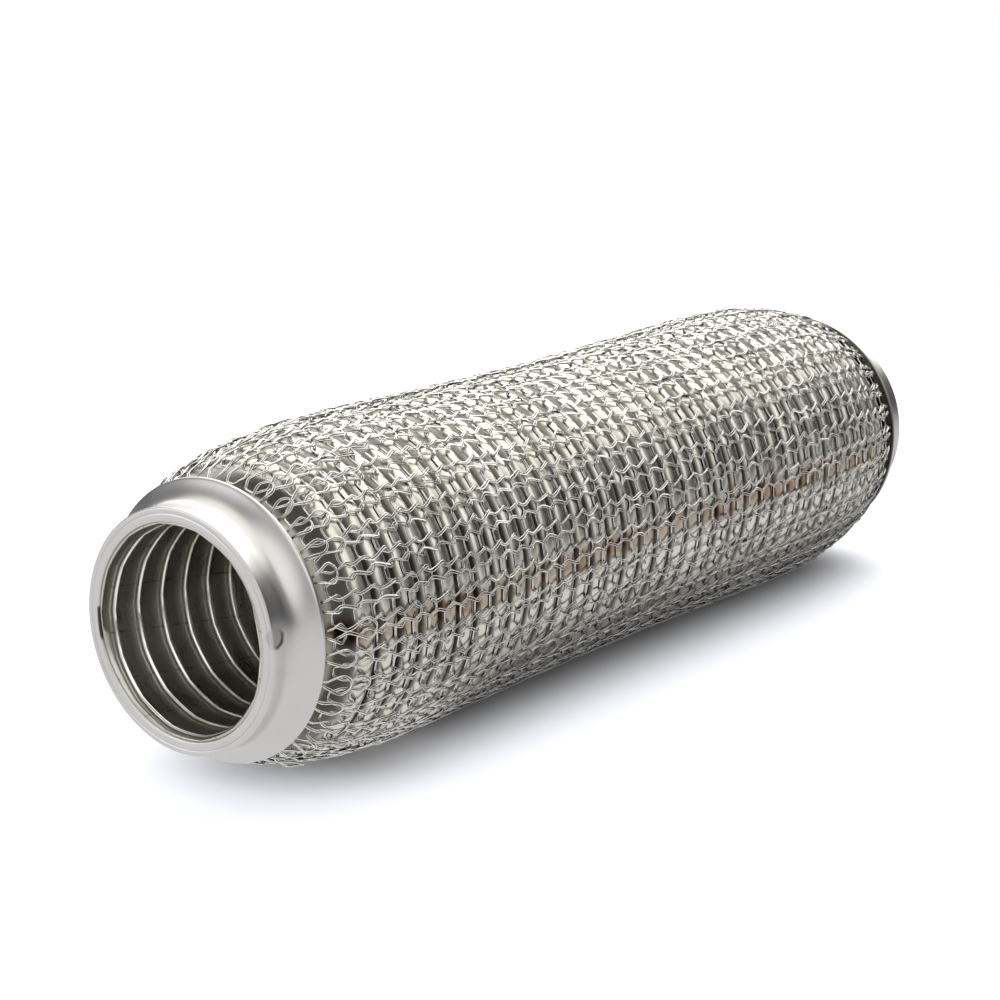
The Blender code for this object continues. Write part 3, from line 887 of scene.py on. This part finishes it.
    tree.links.new(real.outputs[0], painted.inputs["Geometry"])
    tree.links.new(given["Material"], painted.inputs["Material"])
    ends = add_node(tree, "NodeGroupOutput")
    tree.links.new(painted.outputs[0], ends.inputs[0])
    return tree


def grown(name, tree, values):
    """A plain mesh object from a Geometry Nodes tree with these input values."""
    maker = bpy.data.objects.new(name + "_maker", bpy.data.meshes.new(name + "_maker"))
    bpy.context.scene.collection.objects.link(maker)
    modifier = maker.modifiers.new("nodes", "NODES")
    modifier.node_group = tree
    identifiers = {item.name: item.identifier for item in tree.interface.items_tree if item.in_out == "INPUT"}
    for title, value in values.items():
        modifier[identifiers[title]] = value
    evaluated = maker.evaluated_get(bpy.context.evaluated_depsgraph_get())
    mesh = bpy.data.meshes.new_from_object(evaluated)
    bpy.data.objects.remove(maker, do_unlink=True)
    if not mesh.polygons:
        raise RuntimeError("no faces were made for " + name)
    mesh.name = name
    piece = bpy.data.objects.new(name, mesh)
    bpy.context.scene.collection.objects.link(piece)
    return piece


class FLEXPIPE_OT_sleeve(bpy.types.Operator):
    """Knit the wire sleeve"""

    bl_idname = "flexpipe.sleeve"
    bl_label = "Knitted sleeve"

    def execute(self, context):
        size = settings()
        material = wire_steel()
        tree = knit_tree()
        stitches = size.wales * size.courses + 2 * size.spare_stitches
        for band in range(BANDS):
            first = stitches * band // BANDS
            after = stitches * (band + 1) // BANDS
            piece = grown("knit_band_%d" % (band + 1), tree, {
                "First Stitch": first - size.spare_stitches,
                "Stitches": after - first,
                "Wales": size.wales,
                "Courses": size.courses,
                "Half Length": HALF_LENGTH - size.sleeve_end,
                "Waist Radius": size.waist_radius,
                "Swell": size.swell,
                "End Drop": size.end_drop,
                "Wire Radius": size.wire_radius,
                "Strand Spacing": size.strand_gap,
                "Unevenness": 1.0,
                "Material": material,
            })
            finish_piece(piece, material, "sleeve", "mesh_sleeve")
        return {"FINISHED"}


# Studio

CAMERA_PLACE = Vector((-0.53795, -0.39460, 0.17281 + AXIS_HEIGHT))
CAMERA_YAW = math.radians(37.35)
CAMERA_PITCH = math.radians(-14.33)
CAMERA_LENS = 93.17             # millimetres, for a 36 mm sensor


def add_camera():
    camera = bpy.data.objects.new("camera", bpy.data.cameras.new("camera"))
    camera.data.sensor_width = 36.0
    camera.data.lens = CAMERA_LENS
    camera.data.clip_start = 0.01
    ahead = Vector((math.cos(CAMERA_PITCH) * math.cos(CAMERA_YAW), math.cos(CAMERA_PITCH) * math.sin(CAMERA_YAW),
                    math.sin(CAMERA_PITCH)))
    camera.rotation_euler = ahead.to_track_quat("-Z", "Y").to_euler()
    camera.location = CAMERA_PLACE
    bpy.context.scene.collection.objects.link(camera)
    bpy.context.scene.camera = camera


def add_area(name, place, target, width, height, power):
    """A soft rectangular lamp that faces the target."""
    lamp = bpy.data.lights.new(name, "AREA")
    lamp.shape = "RECTANGLE"
    lamp.size = width
    lamp.size_y = height
    lamp.energy = power
    holder = bpy.data.objects.new(name, lamp)
    aim = Vector(target) - Vector(place)
    holder.rotation_euler = aim.to_track_quat("-Z", "Y").to_euler()
    holder.location = place
    bpy.context.scene.collection.objects.link(holder)


def toward(tree, direction, aim, low, high):
    """1 where a direction points at the aim, 0 away from it; low and high are cosines."""
    near = add_node(tree, "ShaderNodeVectorMath", operation="DOT_PRODUCT")
    tree.links.new(direction, near.inputs[0])
    near.inputs[1].default_value = Vector(aim).normalized()
    return ramp_between(tree, near.outputs["Value"], low, high)


def studio_world():
    """White to the camera; to the metal, a bright overhead that is dimmer on one side."""
    world = bpy.data.worlds.new("studio")
    world.use_nodes = True
    tree = world.node_tree
    tree.nodes.clear()
    direction = add_node(tree, "ShaderNodeTexCoord").outputs["Generated"]
    apart = add_node(tree, "ShaderNodeSeparateXYZ")
    tree.links.new(direction, apart.inputs[0])
    height = ramp_between(tree, apart.outputs[2], -0.05, 0.60)
    over = mix_colour(tree, ramp_between(tree, apart.outputs[0], -0.6, 0.7), (0.22, 0.22, 0.23), (0.36, 0.36, 0.345))
    colour = mix_colour(tree, height, (0.10, 0.10, 0.11), over)
    overhead = toward(tree, direction, (0.34, 0.16, 0.92), 0.63, 0.82)
    colour = mix_colour(tree, overhead, colour, (1.32, 1.30, 1.235))
    back = toward(tree, direction, (0.74, 0.62, 0.26), 0.78, 0.96)
    colour = mix_colour(tree, back, colour, (0.80, 0.79, 0.75))
    front = toward(tree, direction, (-0.55, -0.55, 0.63), 0.74, 0.95)
    colour = mix_colour(tree, front, colour, (1.20, 1.19, 1.16))
    left = toward(tree, direction, (-0.77, 0.58, 0.26), 0.85, 0.97)
    colour = mix_colour(tree, left, colour, (1.60, 1.60, 1.60))
    high = toward(tree, direction, (0.74, 0.03, 0.67), 0.85, 0.97)
    colour = mix_colour(tree, high, colour, (1.40, 1.39, 1.34))
    dim = toward(tree, direction, (0.74, -0.66, 0.12), 0.84, 0.95)
    colour = mix_colour(tree, dim, colour, (0.06, 0.06, 0.065))
    room = add_node(tree, "ShaderNodeBackground")
    tree.links.new(colour, room.inputs["Color"])
    white = add_node(tree, "ShaderNodeBackground")
    white.inputs["Color"].default_value = (1.0, 1.0, 1.0, 1.0)
    seen = add_node(tree, "ShaderNodeLightPath").outputs["Is Camera Ray"]
    either = add_node(tree, "ShaderNodeMixShader")
    tree.links.new(seen, either.inputs[0])
    tree.links.new(room.outputs[0], either.inputs[1])
    tree.links.new(white.outputs[0], either.inputs[2])
    ends = add_node(tree, "ShaderNodeOutputWorld")
    tree.links.new(either.outputs[0], ends.inputs["Surface"])
    bpy.context.scene.world = world


def floor_white():
    """A white sweep that keeps the real shadow near the pipe, deepened there with painted shadow, and is plain white
    further off; in the metal it shows as a painted reflection, dark close to the pipe.
    """
    material = bpy.data.materials.new("white sweep")
    material.use_nodes = True
    tree = material.node_tree
    tree.nodes.clear()
    matt = add_node(tree, "ShaderNodeBsdfDiffuse")
    matt.inputs["Color"].default_value = (0.76, 0.765, 0.80, 1.0)
    paths = add_node(tree, "ShaderNodeLightPath")
    glow = add_node(tree, "ShaderNodeEmission")
    glow.inputs["Color"].default_value = (0.89, 0.925, 1.0, 1.0)
    seen = paths.outputs["Is Camera Ray"]
    body = add_node(tree, "ShaderNodeTexCoord").outputs["Object"]
    apart = add_node(tree, "ShaderNodeSeparateXYZ")
    tree.links.new(body, apart.inputs[0])
    from_middle = calc(tree, "ABSOLUTE", calc(tree, "SUBTRACT", apart.outputs[0], 0.012))
    past_end = calc(tree, "MAXIMUM", calc(tree, "SUBTRACT", from_middle, 0.103), 0.0)
    off = calc(tree, "SQRT", calc(tree, "ADD", calc(tree, "MULTIPLY", past_end, past_end),
                                  calc(tree, "MULTIPLY", apart.outputs[1], apart.outputs[1])))
    # Painted shadow: the glow that lifts the floor to white fades out close to the pipe, deepening the real shadow
    # there
    clear = ramp_between(tree, off, 0.010, 0.045)
    tree.links.new(calc(tree, "MULTIPLY", calc(tree, "MULTIPLY", seen, clear), 0.54), glow.inputs["Strength"])
    lifted = add_node(tree, "ShaderNodeAddShader")
    tree.links.new(matt.outputs[0], lifted.inputs[0])
    tree.links.new(glow.outputs[0], lifted.inputs[1])
    plain = add_node(tree, "ShaderNodeEmission")
    plain.inputs["Color"].default_value = (1.0, 1.0, 1.0, 1.0)
    away = ramp_between(tree, vector_calc(tree, "LENGTH", body), 0.36, 0.66)
    spread = add_node(tree, "ShaderNodeMixShader")
    tree.links.new(calc(tree, "MULTIPLY", away, seen), spread.inputs[0])
    tree.links.new(lifted.outputs[0], spread.inputs[1])
    tree.links.new(plain.outputs[0], spread.inputs[2])
    # Painted reflection: what the metal mirrors of the floor is a glow whose level is painted by place, dark close to
    # the pipe, brighter beside it and towards its near end
    beside = ramp_between(tree, calc(tree, "ABSOLUTE", apart.outputs[1]), 0.030, 0.070)
    ahead = ramp_between(tree, apart.outputs[0], -0.055, -0.090)
    further = ramp_between(tree, calc(tree, "ABSOLUTE", apart.outputs[1]), 0.10, 0.22)
    beside = calc(tree, "MULTIPLY", beside, calc(tree, "SUBTRACT", 1.0, calc(tree, "MULTIPLY", further, 0.26)))
    brighter = calc(tree, "MAXIMUM", calc(tree, "MULTIPLY", beside, 0.64), calc(tree, "MULTIPLY", ahead, 0.66))
    level = calc(tree, "ADD", 0.18, brighter)
    painted_floor_reflection = add_node(tree, "ShaderNodeEmission")
    painted_floor_reflection.inputs["Color"].default_value = (1.0, 1.0, 1.0, 1.0)
    tree.links.new(level, painted_floor_reflection.inputs["Strength"])
    whole = add_node(tree, "ShaderNodeMixShader")
    tree.links.new(paths.outputs["Is Glossy Ray"], whole.inputs[0])
    tree.links.new(spread.outputs[0], whole.inputs[1])
    tree.links.new(painted_floor_reflection.outputs[0], whole.inputs[2])
    ends = add_node(tree, "ShaderNodeOutputMaterial")
    tree.links.new(whole.outputs[0], ends.inputs["Surface"])
    return material


class FLEXPIPE_OT_stage(bpy.types.Operator):
    """Set up the floor, the lamps and the camera"""

    bl_idname = "flexpipe.stage"
    bl_label = "Stage"

    def execute(self, context):
        mesh = bpy.data.meshes.new("floor")
        sheet = bmesh.new()
        bmesh.ops.create_grid(sheet, x_segments=1, y_segments=1, size=4.0)
        sheet.to_mesh(mesh)
        sheet.free()
        mesh.materials.append(floor_white())
        floor = bpy.data.objects.new("floor", mesh)
        context.scene.collection.objects.link(floor)
        studio_world()
        middle = (0.0, 0.0, AXIS_HEIGHT)
        add_area("back", (0.60, 0.85, 0.60), middle, 0.9, 0.6, 2.0)
        add_area("top", (0.72, 0.25, 0.80), middle, 1.0, 1.0, 4.5)
        add_camera()
        context.scene.view_settings.view_transform = "Standard"
        return {"FINISHED"}


class FLEXPIPE_PT_panel(bpy.types.Panel):
    """Buttons that make the pipe and its stage"""

    bl_idname = "FLEXPIPE_PT_panel"
    bl_label = "Flex pipe"
    bl_space_type = "VIEW_3D"
    bl_region_type = "UI"
    bl_category = "Flex pipe"

    def draw(self, context):
        for step in STEPS:
            self.layout.operator("flexpipe." + step)


STEPS = ("stage", "collars", "liner", "bellows", "sleeve")
CLASSES = (FlexPipeSettings, FLEXPIPE_OT_stage, FLEXPIPE_OT_collars, FLEXPIPE_OT_liner, FLEXPIPE_OT_bellows,
           FLEXPIPE_OT_sleeve, FLEXPIPE_PT_panel)


def register():
    for made in CLASSES:
        bpy.utils.register_class(made)
    bpy.types.Scene.flex_pipe = bpy.props.PointerProperty(type=FlexPipeSettings)


def unregister():
    del bpy.types.Scene.flex_pipe
    for made in reversed(CLASSES):
        bpy.utils.unregister_class(made)


def main():
    register()
    for step in STEPS:
        getattr(bpy.ops.flexpipe, step)()


if __name__ == "__main__":
    main()
